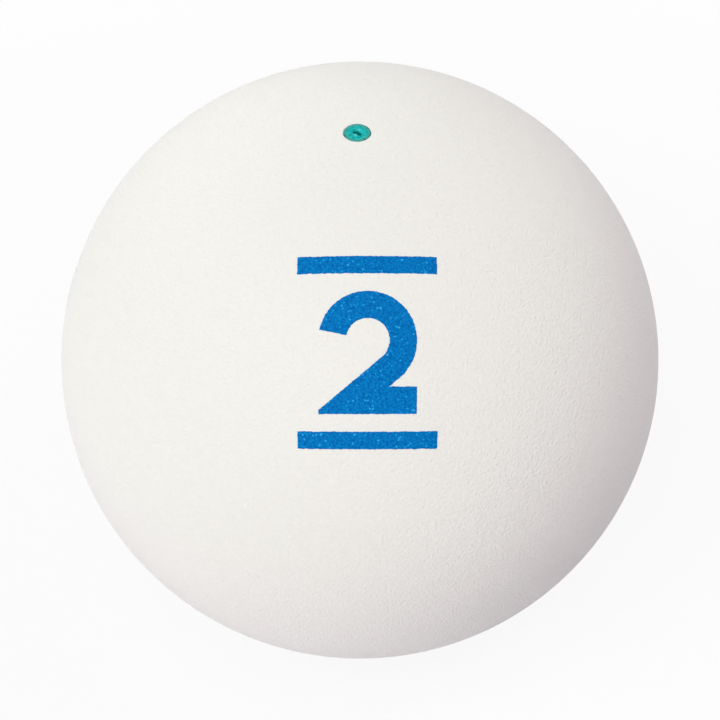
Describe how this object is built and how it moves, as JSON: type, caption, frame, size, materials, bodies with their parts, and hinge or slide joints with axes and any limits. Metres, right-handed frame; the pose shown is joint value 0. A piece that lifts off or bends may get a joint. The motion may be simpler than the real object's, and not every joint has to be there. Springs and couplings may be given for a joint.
{
  "type": "soft tennis ball",
  "caption": "Hollow white rubber ball with a flush self-sealing valve plug, pumped up through a needle and hit with a racket.",
  "frame": {"origin": "centre of the ball", "axes": "+Z out through the middle of the valve, -Y towards the printed side, +X to the right of it"},
  "size_m": [0.066, 0.066, 0.066],
  "materials": {
    "white_rubber": "matt moulded natural rubber, finely grained",
    "cream_rubber": "matt uncoloured natural rubber, hidden inside",
    "teal_rubber": "satin coloured rubber",
    "amber_gum": "soft tacky gum, hidden inside",
    "blue_ink": "thin pad-printed ink, slightly worn"
  },
  "bodies": {
    "root": {"shell_valve_half": "white_rubber", "shell_plain_half": "white_rubber", "valve_boss": "cream_rubber", "valve_plug": "teal_rubber", "sealing_gum": "amber_gum"}
  },
  "joints": []
}
